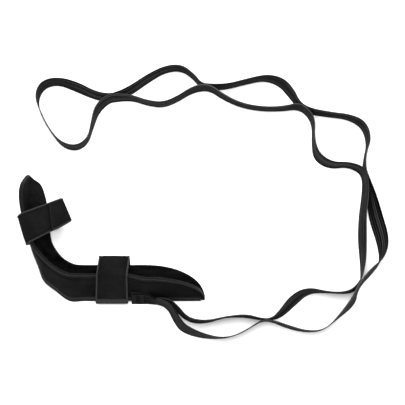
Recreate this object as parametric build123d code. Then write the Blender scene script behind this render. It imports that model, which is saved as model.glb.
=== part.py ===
# Stretching strap: a neoprene foot cradle with two hook-and-loop straps and a
# multi-grip pull strap, lying on its side as it is put down after use.
#
# Millimetres, +Z up, floor at z = 0.  The sole runs along +X from the heel corner
# to the toe tip, the upright runs along +Y, and the cradle lies on its left wall.
# The origin is the bottom centre of the cradle's box, without the pull strap.

import os
from math import radians, sin, cos, tan, sqrt
from build123d import *

# ---- driving dimensions -------------------------------------------------------
STRAP_THICK = 2.5

# Laminate of the cradle walls, from the outside in.
COVER = 1.0
FOAM = 3.0
LINING = 1.0
WALL = COVER + FOAM + LINING

# Sole: two walls that meet along the keel.
KEEL_Y = -88.0
KEEL_Z = STRAP_THICK
HEEL_X = -63.0
TOE_X = 138.0
TOE_CURVE_X = 51.0
WALL_WIDTH = 51.0
V_ANGLE = 64.0
V_TOE_ANGLE = 71.5
V_TURN_X = 27.0
TOE_END_WIDTH = 13.0

# Trim.
BINDING_REACH = 2.2
BINDING_PROUD = 0.8
TAPE_SHARE = 0.22
TAPE_THICK = 1.2
TAPE_EDGE = WALL_WIDTH * TAPE_SHARE + 1.0

# Ankle crease: the vertical axis that the upright folds about.
CREASE_X = -103.0
CREASE_Y = -59.0
CREASE_SOLE_ANGLE = 62.3
CREASE_UPRIGHT_ANGLE = 88.0

# Hook-and-loop straps: pile patch, gap, hook patch and tab lie on each other.
PILE_THICK = 1.0
HOOK_THICK = 0.8
PEEL_GAP = 0.4
TAB_LIFT = PILE_THICK + PEEL_GAP + HOOK_THICK
ANKLE_SEAT = 0.15
EDGE_BAND = 2.2
EDGE_PROUD = 0.3

FOREFOOT_X0 = -24.0
FOREFOOT_X1 = 24.0
FOREFOOT_PEAK_Y = -34.0
FOREFOOT_PEAK_Z = 41.0

# Pull strap webbing.
WEB_WIDTH = 25.0
WEB_THICK = 1.5

TAIL_START_X = 29.0
TAIL_END_X = 66.6

# Route of the webbing's centre line in plan: out along the outer strand, round the
# end loop and back along the inner strand.  The strands run 2 mm apart at each joint.
ROUTE = [
    (67, -93.6), (82, -95), (97, -121), (107, -134), (136, -145), (169, -148), (196, -137),
    (219.5, -121.5), (234.5, -121.5),
    (259, -131), (285, -138), (311, -136), (335, -114), (357, -92),
    (363.2, -74.2), (372.4, -61),
    (387, -46), (404, -29), (408, 2), (399, 43), (394, 81),
    (389, 101.4), (386, 115),
    (389, 141), (398, 167), (392, 196), (369, 210), (339, 214),
    (304.3, 220.2), (288.9, 231.4),
    (278, 253), (263, 273), (237, 282), (205, 274), (175, 265),
    (148.1, 263.8), (132.1, 265.2),
    (122, 281), (101, 300), (74, 298), (45, 280), (18, 258),
    (-5.2, 246.5), (-19, 244.5),
    (-41, 249), (-71, 265), (-103, 276), (-127, 268), (-135, 243), (-125, 215), (-108, 185),
    (-89, 161), (-65, 154), (-47, 168), (-42, 196), (-36, 224),
    (-18.8, 242.5), (-5, 244.5),
    (19, 245), (45, 235), (71, 231), (95, 243), (114, 257),
    (131.9, 263.2), (147.9, 261.8),
    (166, 247), (195, 231), (229, 224), (263, 224.5),
    (287.7, 229.8), (303.1, 218.6),
    (312, 199), (309, 167), (313, 140), (335, 125), (359, 127), (375, 122),
    (384, 114.6), (387, 101),
    (386, 79), (379, 43), (376, 5), (375, -31),
    (370.8, -59.8), (361.6, -73),
    (346, -80), (319, -79), (291, -76), (269, -89), (249, -111),
    (234.5, -119.5), (219.5, -119.5),
    (197, -114), (167, -116), (139, -124), (113, -121), (97, -104), (83, -92.3), (67, -91.6),
]

# Sewn joints of the two strands: centre in plan and direction in degrees.
JOINTS = [
    (227, -120.5, 0), (367, -67, 55), (386.5, 108, 102),
    (296, 225, 144), (140, 263.5, 175), (-12, 244.5, 188),
]

os.makedirs("parts", exist_ok=True)
PARTS = {}


def save(name, solids):
    """Write one node: a solid, or several separate solids as one group."""
    if not isinstance(solids, (list, tuple)):
        solids = [solids]
    shape = solids[0] if len(solids) == 1 else Compound(children=list(solids))
    shape.label = name
    PARTS[name] = shape
    export_step(shape, f"parts/{name}.step")


# ---- sheets: a strip of cloth as a closed solid -------------------------------
class Station:
    """One cut across a strip: its two edge points and the way it thickens at each."""

    def __init__(self, start, end, start_grow, end_grow=None):
        self.start = Vector(start)
        self.end = Vector(end)
        self.start_grow = Vector(start_grow)
        self.end_grow = Vector(end_grow) if end_grow is not None else Vector(start_grow)

    def outline(self, low, high):
        corners = [
            self.start + self.start_grow * low,
            self.end + self.end_grow * low,
            self.end + self.end_grow * high,
            self.start + self.start_grow * high,
        ]
        return Wire.make_polygon(corners, close=True)


def strip(stations, low, high):
    """Closed solid through the stations, between two depths of the strip."""
    return Solid.make_loft([s.outline(low, high) for s in stations], ruled=True)


def folded_strip(stations, low, high):
    """The same for a band with sharp folds: made run by run, then joined."""
    runs = [strip(pair, low, high) for pair in zip(stations, stations[1:])]
    return runs[0].fuse(*runs[1:])


class Cut:
    """One cross-section of the cradle: seam point and the two rims, outside surface."""

    def __init__(self, seam, right_rim, left_rim):
        self.seam = Vector(seam)
        self.rims = {"right": Vector(right_rim), "left": Vector(left_rim)}

    def along(self, side):
        return (self.rims[side] - self.seam).normalized()

    def inward(self, side):
        """Unit vector into the cradle, square to this wall."""
        other = "left" if side == "right" else "right"
        e = self.along(side)
        o = self.along(other)
        return (o - e * o.dot(e)).normalized()

    def mitre(self):
        """Way in from the seam that is one unit deep in both walls."""
        e = self.along("right")
        o = self.along("left")
        middle = (e + o).normalized()
        return middle * (1 / middle.dot(self.inward("right")))

    def wall(self, side):
        return Station(self.seam, self.rims[side], self.mitre(), self.inward(side))

    def binding(self, side):
        rim = self.rims[side]
        outer = rim + self.along(side) * BINDING_REACH
        return Station(rim, outer, self.inward(side))

    def tape(self, side):
        edge = self.seam + (self.rims[side] - self.seam) * TAPE_SHARE
        return Station(self.seam, edge, self.mitre() * -1, self.inward(side) * -1)

    def crust(self, side, near, far, lift):
        """Part of the wall from `near` to `far` along it, `lift` outside the cover."""
        out = self.inward(side) * -1
        return Station(
            self.seam + self.along(side) * near + out * lift,
            self.seam + self.along(side) * far + out * lift,
            out,
        )


# ---- sole ---------------------------------------------------------------------
def sole_width(x):
    """Width of each wall: full to the ball of the foot, then an ellipse to the toe."""
    if x <= TOE_CURVE_X:
        return WALL_WIDTH
    t = (x - TOE_CURVE_X) / (TOE_X - TOE_CURVE_X)
    return WALL_WIDTH * sqrt(1 - t * t)


def wall_angle(x):
    """Angle between the two walls, which stand further apart towards the toe."""
    share = min(max((x - V_TURN_X) / (TOE_CURVE_X - V_TURN_X), 0), 1)
    return V_ANGLE + (V_TOE_ANGLE - V_ANGLE) * share


def sole_cut(x):
    width = sole_width(x)
    seam = (x, KEEL_Y, KEEL_Z)
    angle = radians(wall_angle(x))
    right = (x, KEEL_Y + width * cos(angle), KEEL_Z + width * sin(angle))
    left = (x, KEEL_Y + width, KEEL_Z)
    return Cut(seam, right, left)


def toe_end_x():
    ratio = TOE_END_WIDTH / WALL_WIDTH
    return TOE_CURVE_X + (TOE_X - TOE_CURVE_X) * sqrt(1 - ratio * ratio)


def crease_point(angle, reach, z):
    """Point on a vertical plane through the crease axis."""
    return (
        CREASE_X + reach * cos(radians(angle)),
        CREASE_Y + reach * sin(radians(angle)),
        z,
    )


TOE_STATIONS = [0.0, 0.35, 0.6, 0.78, 0.9]
toe_cuts = [sole_cut(TOE_CURVE_X + (TOE_X - TOE_CURVE_X) * t) for t in TOE_STATIONS]
toe_cuts.append(sole_cut(toe_end_x()))

HEEL_CUTS = [
    Cut((HEEL_X, KEEL_Y, KEEL_Z), (-59, -65, 49), (-57, -36, KEEL_Z)),
    Cut((-84, -74, 7), (-75, -59, 50), (-70, -31, KEEL_Z)),
    Cut(
        crease_point(CREASE_SOLE_ANGLE, 0.6, 12.5),
        crease_point(CREASE_SOLE_ANGLE, 17, 53),
        crease_point(CREASE_SOLE_ANGLE, 43, KEEL_Z),
    ),
]
SOLE_CUTS = HEEL_CUTS[::-1] + [sole_cut(-43), sole_cut(0), sole_cut(V_TURN_X)] + toe_cuts

# Upright, from the crease to the last cut before its rounded top.
UPRIGHT_CUTS = [
    Cut(
        crease_point(CREASE_UPRIGHT_ANGLE, 4, 15),
        crease_point(CREASE_UPRIGHT_ANGLE, 22, 56),
        crease_point(CREASE_UPRIGHT_ANGLE, 70, 5),
    ),
    Cut((-118, -19, 35), (-114, -23, 64), (-101.5, 16, 6.5)),
    Cut((-122, -3, 40), (-120, -5, 71), (-103.5, 25, 6.5)),
    Cut((-126, 19, 43), (-128, 20, 81), (-106, 39, 6.5)),
    Cut((-131, 47, 43), (-133, 49, 83), (-110, 57, 6.5)),
    Cut((-134, 69, 43), (-133, 67, 78), (-115, 76, 8)),
    Cut((-133, 85, 43), (-131.5, 81, 66), (-120.5, 90, 16)),
    Cut((-128, 95, 43), (-129, 91.5, 57), (-124, 97, 30)),
]


def make_walls(prefix, cuts):
    layers = {"cover": (0, COVER), "foam": (COVER, COVER + FOAM), "lining": (COVER + FOAM, WALL)}
    for side in ("right", "left"):
        stations = [cut.wall(side) for cut in cuts]
        for layer, (low, high) in layers.items():
            save(f"{prefix}_{side}_{layer}", strip(stations, low, high))


def make_bindings(prefix, cuts):
    for side in ("right", "left"):
        stations = [cut.binding(side) for cut in cuts]
        save(f"{prefix}_{side}_binding", strip(stations, 0, WALL + BINDING_PROUD))


def seam_tape(cuts):
    wings = [strip([cut.tape(side) for cut in cuts], 0, TAPE_THICK) for side in ("right", "left")]
    return wings[0].fuse(wings[1])


def toe_nose():
    """Bartacked nose that closes the two walls at the toe."""
    x0 = toe_end_x()
    cut = sole_cut(x0)
    back = [cut.seam, cut.rims["right"], cut.rims["left"]]
    tip = Vector(TOE_X, KEEL_Y, KEEL_Z)
    front = [tip + (p - cut.seam) * 0.3 for p in back]
    wires = [Wire.make_polygon(points, close=True) for points in (back, front)]
    return Solid.make_loft(wires, ruled=True)


# ---- straps: flat bands that bend round the cradle ----------------------------
def unit_normal(a, b, c):
    return (b - a).cross(c - a).normalized()


class Band:
    """A flat band through (top edge, bottom edge) pairs, growing outwards."""

    def __init__(self, pairs, flip=False):
        self.tops = [Vector(*top) for top, bottom in pairs]
        self.bottoms = [Vector(*bottom) for top, bottom in pairs]
        sign = -1 if flip else 1
        count = len(pairs)
        self.normals = [
            unit_normal(self.tops[i], self.tops[i + 1], self.bottoms[i]) * sign
            for i in range(count - 1)
        ]
        self.grows = []
        for i in range(count):
            before = self.normals[max(i - 1, 0)]
            after = self.normals[min(i, count - 2)]
            middle = (before + after).normalized()
            self.grows.append(middle * (1 / middle.dot(after)))

    def stations(self, inset0=0.0, inset1=0.0):
        """Stations of the band, with each edge brought in by its inset."""
        result = []
        for top, bottom, grow in zip(self.tops, self.bottoms, self.grows):
            across = (bottom - top).normalized()
            result.append(Station(top + across * inset0, bottom - across * inset1, grow))
        return result

    def edge_stations(self, which, width):
        result = []
        for top, bottom, grow in zip(self.tops, self.bottoms, self.grows):
            across = (bottom - top).normalized()
            if which == "top":
                result.append(Station(top, top + across * width, grow))
            else:
                result.append(Station(bottom - across * width, bottom, grow))
        return result

    def body(self, low=0.0, high=STRAP_THICK):
        return folded_strip(self.stations(EDGE_BAND, EDGE_BAND), low, high)

    def edging(self, low=-EDGE_PROUD, high=STRAP_THICK + EDGE_PROUD):
        edges = [self.edge_stations(side, EDGE_BAND) for side in ("top", "bottom")]
        return [folded_strip(stations, low, high) for stations in edges]


def sole_band(points, x0=FOREFOOT_X0, x1=FOREFOOT_X1):
    """Band square across the sole through (y, z) points, outwards on the left of its path."""
    return Band([((x1, y, z), (x0, y, z)) for y, z in points])


def on_right_wall(along, out, angle=V_ANGLE):
    """(y, z) of a point on the outside of the sole's right wall."""
    c = cos(radians(angle))
    s = sin(radians(angle))
    return (KEEL_Y + along * c - out * s, KEEL_Z + along * s + out * c)


def make_forefoot_strap():
    pile = sole_band([on_right_wall(TAPE_EDGE, 0), on_right_wall(46, 0)])
    save("forefoot_pile_patch", strip(pile.stations(4, 4), 0, PILE_THICK))

    hook_low = PILE_THICK + PEEL_GAP
    hook = sole_band([on_right_wall(TAPE_EDGE + 3, 0), on_right_wall(43, 0)])
    save("forefoot_hook_patch", strip(hook.stations(6, 6), hook_low, hook_low + HOOK_THICK))

    tab = sole_band([
        (-96.5, 0.6),
        on_right_wall(0.5, TAB_LIFT),
        on_right_wall(56, TAB_LIFT),
        (FOREFOOT_PEAK_Y - 1, FOREFOOT_PEAK_Z + 0.6),
    ])
    save("forefoot_tab", tab.body())
    save("forefoot_tab_edging", tab.edging())

    rim_y = KEEL_Y + WALL_WIDTH + BINDING_REACH + 1
    base = sole_band([
        (FOREFOOT_PEAK_Y, FOREFOOT_PEAK_Z - 0.4),
        (rim_y, KEEL_Z),
        (KEEL_Y + TAPE_EDGE, KEEL_Z),
    ])
    save("forefoot_strap_base", base.body())
    save("forefoot_base_edging", base.edging(0, STRAP_THICK))

    anchor = [cut.crust("right", TAPE_EDGE, 34, 0) for cut in (sole_cut(-38), sole_cut(-26))]
    save("forefoot_anchor_patch", strip(anchor, 0, 0.9))


# Ankle strap: (top edge, bottom edge) from the back of the right wall, over the
# right rim, out to the fold, under the left rim and up the back of the left wall.
ANKLE_BACK_RIGHT = ((-127.6, 15, 47), (-119.6, -23, 38))
ANKLE_RIM_BACK = ((-131.3, 15.8, 82.5), (-118.6, -23, 66.5))
ANKLE_RIM_FRONT = ((-127, 18.8, 86.5), (-114.4, -20, 70.5))
ANKLE_FOLD = ((-78, 52.5, 56), (-63.5, 20.5, 43))
ANKLE_LEFT_INNER = ((-96.5, 64, 2.6), (-89, 24, 2.6))
ANKLE_LEFT_OUTER = ((-112.5, 59, 2.6), (-105, 19, 2.6))
ANKLE_BACK_LEFT = ((-126.5, 19, 37), (-117.5, -20, 26))
ANKLE_TAB_TOP = 22.0
ANKLE_TAB_BOTTOM = 34.0


def shift_back(distance_top, distance_bottom):
    """Points on the right run of the ankle strap, measured back from the fold."""
    top = Vector(*ANKLE_FOLD[0])
    bottom = Vector(*ANKLE_FOLD[1])
    top_way = (Vector(*ANKLE_RIM_FRONT[0]) - top).normalized()
    bottom_way = (Vector(*ANKLE_RIM_FRONT[1]) - bottom).normalized()
    return (
        tuple(top + top_way * distance_top),
        tuple(bottom + bottom_way * distance_bottom),
    )


def make_ankle_strap():
    band = Band([
        ANKLE_BACK_RIGHT, ANKLE_RIM_BACK, ANKLE_RIM_FRONT, ANKLE_FOLD,
        ANKLE_LEFT_INNER, ANKLE_LEFT_OUTER, ANKLE_BACK_LEFT,
    ], flip=True)
    save("ankle_strap_band", band.body())
    save("ankle_band_edging", band.edging(0, STRAP_THICK))

    run = Band([shift_back(ANKLE_TAB_TOP, ANKLE_TAB_BOTTOM), shift_back(1.5, 1.5)], flip=True)
    patch = Band([shift_back(ANKLE_TAB_TOP - 3, ANKLE_TAB_BOTTOM - 3), shift_back(5, 5)], flip=True)
    pile_low = STRAP_THICK + ANKLE_SEAT
    hook_low = pile_low + PILE_THICK + PEEL_GAP
    tab_low = hook_low + HOOK_THICK + ANKLE_SEAT
    save("ankle_pile_patch", strip(patch.stations(6, 6), pile_low, pile_low + PILE_THICK))
    save("ankle_hook_patch", strip(patch.stations(6, 6), hook_low, hook_low + HOOK_THICK))
    save("ankle_tab", run.body(tab_low, tab_low + STRAP_THICK))
    edge_low = tab_low - EDGE_PROUD
    save("ankle_tab_edging", run.edging(edge_low, tab_low + STRAP_THICK + EDGE_PROUD))


# ---- pull strap ---------------------------------------------------------------
def corner(a, b, c):
    """Largest fillet that the two runs at a corner allow."""
    into = (b - a).normalized()
    out = (c - b).normalized()
    turn = into.get_signed_angle(out, Vector(0, 0, 1))
    reach = 0.45 * min((b - a).length, (c - b).length)
    radius = reach / abs(tan(radians(turn) / 2))
    return into, out, turn, reach, radius


def ribbon_edge(points, side):
    """Edges of one face of the webbing, `side` to the left of its centre line."""
    left = Vector(0, 0, 1)
    edges = []
    here = points[0] + left.cross((points[1] - points[0]).normalized()) * side
    for a, b, c in zip(points, points[1:], points[2:]):
        into, out, turn, reach, radius = corner(a, b, c)
        start = b - into * reach + left.cross(into) * side
        end = b + out * reach + left.cross(out) * side
        edges.append(Line(here, start))
        edges.append(TangentArc([start, end], tangent=into))
        here = end
    last = points[-1] + left.cross((points[-1] - points[-2]).normalized()) * side
    edges.append(Line(here, last))
    return edges


def webbing(points, height=WEB_WIDTH, thick=WEB_THICK):
    path = [Vector(*p, 0) for p in points]
    left_face = ribbon_edge(path, thick / 2)
    right_face = ribbon_edge(path, -thick / 2)
    caps = [
        Line(left_face[0] @ 0, right_face[0] @ 0),
        Line(left_face[-1] @ 1, right_face[-1] @ 1),
    ]
    outline = Wire(left_face + right_face + caps)
    return Solid.extrude(Face(outline), Vector(0, 0, height))


def route_report(points):
    path = [Vector(*p, 0) for p in points]
    runs = sum((b - a).length for a, b in zip(path, path[1:]))
    radii = []
    length = runs
    for a, b, c in zip(path, path[1:], path[2:]):
        into, out, turn, reach, radius = corner(a, b, c)
        radii.append(round(radius, 1))
        length += radius * radians(abs(turn)) - 2 * reach
    print("webbing length", round(length, 1), "runs", round(runs, 1))
    print("fillet radii", radii)
    return length


def joint_stitch(x, y, angle, length=8.0):
    """Box stitch that sews the two strands together: a thin pad between them."""
    pad = Box(length, 0.4, WEB_WIDTH - 6)
    return Pos(x, y, WEB_WIDTH / 2) * Rot(0, 0, angle) * pad


def anchor_tab(face_y):
    """Folded tab that fills the wedge between the keel tape and the sewn tails."""
    upper = on_right_wall(10, TAPE_THICK, V_TOE_ANGLE)
    outline = [
        (face_y, 0.4),
        (face_y + 0.6, KEEL_Z - TAPE_THICK),
        upper,
        (face_y, upper[1] + 2),
    ]
    back = Wire.make_polygon([Vector(TAIL_START_X + 2, y, z) for y, z in outline], close=True)
    return Solid.extrude(Face(back), Vector(TAIL_END_X - TAIL_START_X - 8, 0, 0))


def make_pull_strap():
    strap = webbing(ROUTE)
    length = route_report(ROUTE)
    print("volume check", round(strap.volume / (length * WEB_WIDTH * WEB_THICK), 4))
    save("pull_strap", strap)
    for number, (x, y, angle) in enumerate(JOINTS, start=1):
        save(f"grip_joint_{number}", joint_stitch(x, y, angle))

    tail_outer_y = ROUTE[0][1]
    tail_inner_y = ROUTE[-1][1]
    tails = [
        webbing([(TAIL_START_X, tail_outer_y), (TAIL_END_X, tail_outer_y)]),
        webbing([(TAIL_START_X, tail_inner_y), (TAIL_END_X, tail_inner_y)]),
    ]
    save("pull_strap_tails", tails)
    inner_face = tail_inner_y + WEB_THICK / 2
    outer_face = tail_outer_y - WEB_THICK / 2
    save("pull_strap_anchor", anchor_tab(inner_face))
    between = (tail_outer_y + tail_inner_y) / 2
    save("anchor_stitches", [
        Pos((TAIL_START_X + TAIL_END_X) / 2, between, WEB_WIDTH / 2) * Box(30, 0.4, WEB_WIDTH - 6),
        Pos(TAIL_START_X + 4, outer_face - 0.3, WEB_WIDTH / 2) * Box(2.4, 0.6, WEB_WIDTH - 6),
        Pos(TAIL_END_X - 6, outer_face - 0.3, WEB_WIDTH / 2) * Box(2.4, 0.6, WEB_WIDTH - 6),
    ])


# ---- build --------------------------------------------------------------------
make_walls("sole", SOLE_CUTS)
make_bindings("sole", SOLE_CUTS)
save("toe_nose", toe_nose())
keel_cuts = [HEEL_CUTS[0], sole_cut(-43), sole_cut(0), sole_cut(V_TURN_X)] + toe_cuts[:5]
save("keel_tape", seam_tape(keel_cuts))
save("heel_tape", seam_tape(HEEL_CUTS[::-1]))

for side in ("right", "left"):
    flex = [HEEL_CUTS[-1].wall(side), UPRIGHT_CUTS[0].wall(side)]
    save(f"ankle_flex_{side}", strip(flex, 0, WALL))

make_walls("upright", UPRIGHT_CUTS)
make_bindings("upright", UPRIGHT_CUTS)
save("back_tape", seam_tape(UPRIGHT_CUTS[:-1]))

make_forefoot_strap()
make_ankle_strap()
make_pull_strap()

cradle = [shape for name, shape in PARTS.items() if not name.startswith(("pull_strap", "grip"))]
box = Compound(children=cradle).bounding_box()
print("cradle box", box.min, box.max, "centre", box.center())
print(len(PARTS), "nodes")
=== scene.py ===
# Stretching strap: a neoprene foot cradle with two hook-and-loop straps and a long
# webbing pull strap sewn into grip loops.  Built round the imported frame.  Lengths in
# the tables are millimetres unless they say otherwise; meshes are made in metres.

import math

import bmesh
import bpy
import numpy as np
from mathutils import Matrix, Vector, noise


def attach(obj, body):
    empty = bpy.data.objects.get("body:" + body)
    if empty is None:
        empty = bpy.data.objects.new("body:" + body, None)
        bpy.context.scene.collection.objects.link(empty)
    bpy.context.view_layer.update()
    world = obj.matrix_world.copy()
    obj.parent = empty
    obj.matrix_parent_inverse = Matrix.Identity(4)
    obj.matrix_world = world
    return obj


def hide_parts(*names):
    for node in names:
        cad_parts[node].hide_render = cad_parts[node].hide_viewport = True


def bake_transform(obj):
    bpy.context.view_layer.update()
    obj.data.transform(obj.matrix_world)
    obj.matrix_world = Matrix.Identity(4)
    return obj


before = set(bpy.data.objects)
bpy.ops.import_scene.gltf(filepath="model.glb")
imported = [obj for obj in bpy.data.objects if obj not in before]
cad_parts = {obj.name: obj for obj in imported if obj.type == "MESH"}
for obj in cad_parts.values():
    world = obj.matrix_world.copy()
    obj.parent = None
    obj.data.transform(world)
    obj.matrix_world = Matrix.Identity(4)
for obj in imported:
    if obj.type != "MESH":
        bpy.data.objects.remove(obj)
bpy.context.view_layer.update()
MM = 0.001
UP = np.array((0.0, 0.0, 1.0))

# ---- camera -------------------------------------------------------------------
CAMERA_AIM = (0.134, 0.068, 0.0)
CAMERA_DISTANCE = 1.312
CAMERA_ELEVATION = math.radians(69.0)
CAMERA_LENS = 75.0

camera_data = bpy.data.cameras.new("camera")
camera_data.lens = CAMERA_LENS
camera_data.sensor_width = 36.0
camera_data.clip_start = 0.05
camera_data.clip_end = 20.0
camera = bpy.data.objects.new("camera", camera_data)
bpy.context.scene.collection.objects.link(camera)
camera.location = (
    CAMERA_AIM[0],
    CAMERA_AIM[1] - CAMERA_DISTANCE * math.cos(CAMERA_ELEVATION),
    CAMERA_DISTANCE * math.sin(CAMERA_ELEVATION),
)
camera.rotation_euler = (math.pi / 2 - CAMERA_ELEVATION, 0, 0)
bpy.context.scene.camera = camera

# ---- dimensions shared with the model -----------------------------------------
STRAP_THICK = 2.5
WALL = 5.0
COVER_SHARE = 0.8
KEEL_Y = -88.0
KEEL_Z = STRAP_THICK
TOE_X = 138.0
TOE_CURVE_X = 51.0
WALL_WIDTH = 51.0
V_ANGLE = math.radians(64.0)
V_TOE_ANGLE = math.radians(71.5)
V_TURN_X = 27.0
WEB_WIDTH = 25.0
WEB_THICK = 1.5

# Route of the webbing's centre line in metres, and its lean in degrees: how far its
# upper edge tips to the left of the way that the line runs.
ROUTE = [
    (0.067, -0.0936, 3), (0.082, -0.095, 10), (0.097, -0.121, 22), (0.107, -0.134, 18),
    (0.136, -0.145, 4), (0.169, -0.148, -12), (0.196, -0.137, -9),
    (0.2195, -0.1215, -8), (0.2345, -0.1215, -8),
    (0.259, -0.131, -2), (0.285, -0.138, -8), (0.311, -0.136, -9), (0.335, -0.114, 4),
    (0.357, -0.092, 22),
    (0.3632, -0.0742, 10), (0.3724, -0.061, 8),
    (0.387, -0.046, 11), (0.404, -0.029, -2), (0.408, 0.002, -38), (0.399, 0.043, -48),
    (0.394, 0.081, -14),
    (0.389, 0.1014, -9), (0.386, 0.115, -5),
    (0.389, 0.141, 1), (0.398, 0.167, -8), (0.392, 0.196, -5), (0.369, 0.21, 7),
    (0.339, 0.214, 7),
    (0.3043, 0.2202, 2), (0.2889, 0.2314, 0),
    (0.278, 0.253, -15), (0.263, 0.273, -12), (0.237, 0.282, 5), (0.205, 0.274, 7),
    (0.175, 0.265, 7),
    (0.1481, 0.2638, 3), (0.1321, 0.2652, 2),
    (0.122, 0.281, 3), (0.101, 0.3, 4), (0.074, 0.298, 3), (0.045, 0.28, -5),
    (0.018, 0.258, -8),
    (-0.0052, 0.2465, -4), (-0.019, 0.2445, -4),
    (-0.041, 0.249, -8), (-0.071, 0.265, -17), (-0.103, 0.276, 0), (-0.127, 0.268, -3),
    (-0.135, 0.243, -2), (-0.125, 0.215, 2), (-0.108, 0.185, -5), (-0.089, 0.161, -2),
    (-0.065, 0.154, -4), (-0.047, 0.168, -7), (-0.042, 0.196, 1), (-0.036, 0.224, 10),
    (-0.0188, 0.2425, 5), (-0.005, 0.2445, 4),
    (0.019, 0.245, -5), (0.045, 0.235, -6), (0.071, 0.231, -6), (0.095, 0.243, -4),
    (0.114, 0.257, -3),
    (0.1319, 0.2632, -2), (0.1479, 0.2618, -3),
    (0.166, 0.247, -4), (0.195, 0.231, -9), (0.229, 0.224, -10), (0.263, 0.2245, -8),
    (0.2877, 0.2298, -1), (0.3031, 0.2186, -1),
    (0.312, 0.199, 5), (0.309, 0.167, 2), (0.313, 0.14, 14), (0.335, 0.125, 4),
    (0.359, 0.127, -5), (0.375, 0.122, 0),
    (0.384, 0.1146, 5), (0.387, 0.101, 9),
    (0.386, 0.079, 17), (0.379, 0.043, 18), (0.376, 0.005, 22), (0.375, -0.031, 10),
    (0.3708, -0.0598, -6), (0.3616, -0.073, -9),
    (0.346, -0.08, 8), (0.319, -0.079, 13), (0.291, -0.076, -6), (0.269, -0.089, -33),
    (0.249, -0.111, -16),
    (0.2345, -0.1195, 8), (0.2195, -0.1195, 8),
    (0.197, -0.114, 2), (0.167, -0.116, 11), (0.139, -0.124, 3), (0.113, -0.121, -2),
    (0.097, -0.104, -10), (0.083, -0.0923, -10), (0.067, -0.0916, -3),
]

# Sewn joints: centre (mm), direction and lean (degrees).
JOINTS = [
    (227, -120.5, 0, -8), (367, -67, 55, 9), (386.5, 108, 102, -7),
    (296, 225, 144, 1), (140, 263.5, 175, 2), (-12, 244.5, 188, -4),
]


# ---- materials ----------------------------------------------------------------
class Nodes:
    """Small helper round one material's node tree."""

    def __init__(self, name):
        self.material = bpy.data.materials.new(name)
        self.material.use_nodes = True
        self.tree = self.material.node_tree
        self.shader = self.tree.nodes["Principled BSDF"]

    def add(self, kind, **values):
        node = self.tree.nodes.new(kind)
        for key, value in values.items():
            if hasattr(node, key):
                setattr(node, key, value)
            else:
                node.inputs[key.replace("_", " ")].default_value = value
        return node

    def link(self, a, b):
        self.tree.links.new(a, b)

    def maths(self, operation, a, b=None):
        node = self.add("ShaderNodeMath", operation=operation)
        for socket, value in zip(node.inputs, (a, b)):
            if value is None:
                continue
            if isinstance(value, (int, float)):
                socket.default_value = value
            else:
                self.link(value, socket)
        return node.outputs[0]

    def ramp(self, factor, stops):
        node = self.add("ShaderNodeValToRGB")
        elements = node.color_ramp.elements
        elements[0].position, elements[1].position = stops[0][0], stops[-1][0]
        elements[0].color = (*[stops[0][1]] * 3, 1)
        elements[1].color = (*[stops[-1][1]] * 3, 1)
        for position, grey in stops[1:-1]:
            elements.new(position).color = (*[grey] * 3, 1)
        self.link(factor, node.inputs[0])
        return node.outputs[0]

    def noise(self, vector, scale, detail=3.0, rough=0.55):
        node = self.add("ShaderNodeTexNoise")
        node.inputs["Scale"].default_value = scale
        node.inputs["Detail"].default_value = detail
        node.inputs["Roughness"].default_value = rough
        self.link(vector, node.inputs["Vector"])
        return node.outputs["Fac"]

    def stretched(self, vector, scale):
        node = self.add("ShaderNodeMapping")
        node.inputs["Scale"].default_value = scale
        self.link(vector, node.inputs["Vector"])
        return node.outputs[0]

    def tinted(self, factor, dark, light):
        """Mixes two colours by a factor and puts the result on the shader."""
        node = self.add("ShaderNodeMix", data_type="RGBA")
        self.link(factor, node.inputs["Factor"])
        node.inputs[6].default_value = (*dark, 1)
        node.inputs[7].default_value = (*light, 1)
        self.link(node.outputs[2], self.shader.inputs["Base Color"])

    def bump(self, heights, distance):
        node = self.add("ShaderNodeBump")
        node.inputs["Strength"].default_value = 1.0
        node.inputs["Distance"].default_value = distance
        self.link(heights, node.inputs["Height"])
        self.link(node.outputs[0], self.shader.inputs["Normal"])

    def surface(self, roughness, specular, sheen=0.0):
        sockets = self.shader.inputs
        sockets["Roughness"].default_value = roughness
        sockets["Specular IOR Level"].default_value = specular
        sockets["Sheen Weight"].default_value = sheen
        sockets["Sheen Roughness"].default_value = 0.4
        return self.material

    def object_coords(self):
        return self.add("ShaderNodeTexCoord").outputs["Object"]

    def uv(self):
        return self.add("ShaderNodeTexCoord").outputs["UV"]


def grey(value):
    return (value, value, value)


def knit_material(name, dark, light, bump, grooves):
    """Fine jersey over neoprene: a tiny knit and soft mottling.  The stitching pulls it into grooves at
    these UV u positions, each given with half its width, and shade is painted into them: the colour
    darkens towards each groove's middle."""
    n = Nodes(name)
    where = n.object_coords()
    knit = n.noise(where, 1500.0, 2.0)
    cloud = n.noise(where, 38.0, 4.0)
    lint = n.noise(where, 420.0, 4.0, 0.7)
    mixed = n.maths("ADD", n.maths("MULTIPLY", knit, 0.5), n.maths("MULTIPLY", cloud, 0.5))
    mixed = n.maths("ADD", mixed, n.maths("MULTIPLY", n.maths("SUBTRACT", lint, 0.5), 0.35))
    split = n.add("ShaderNodeSeparateXYZ")
    n.link(n.uv(), split.inputs[0])
    # Painted shade: the colour falls to the dark end towards the middle of each stitched groove.
    for middle, half in grooves:
        off = n.maths("ABSOLUTE", n.maths("SUBTRACT", split.outputs[0], middle))
        mixed = n.maths("MULTIPLY", mixed, n.maths("MINIMUM", n.maths("DIVIDE", off, half), 1.0))
    n.tinted(n.ramp(mixed, [(0.32, 0.0), (0.7, 1.0)]), dark, light)
    heights = n.maths("ADD", knit, n.maths("MULTIPLY", cloud, 1.5))
    n.bump(heights, bump)
    return n.surface(0.85, 0.035)


# Painted light on the lining: from this height along y (metres) it grows lighter at this rate towards
# the top of the upright.
PAINTED_LIGHT_FROM_Y = 0.045
PAINTED_LIGHT_PER_METRE = 8.0


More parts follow.
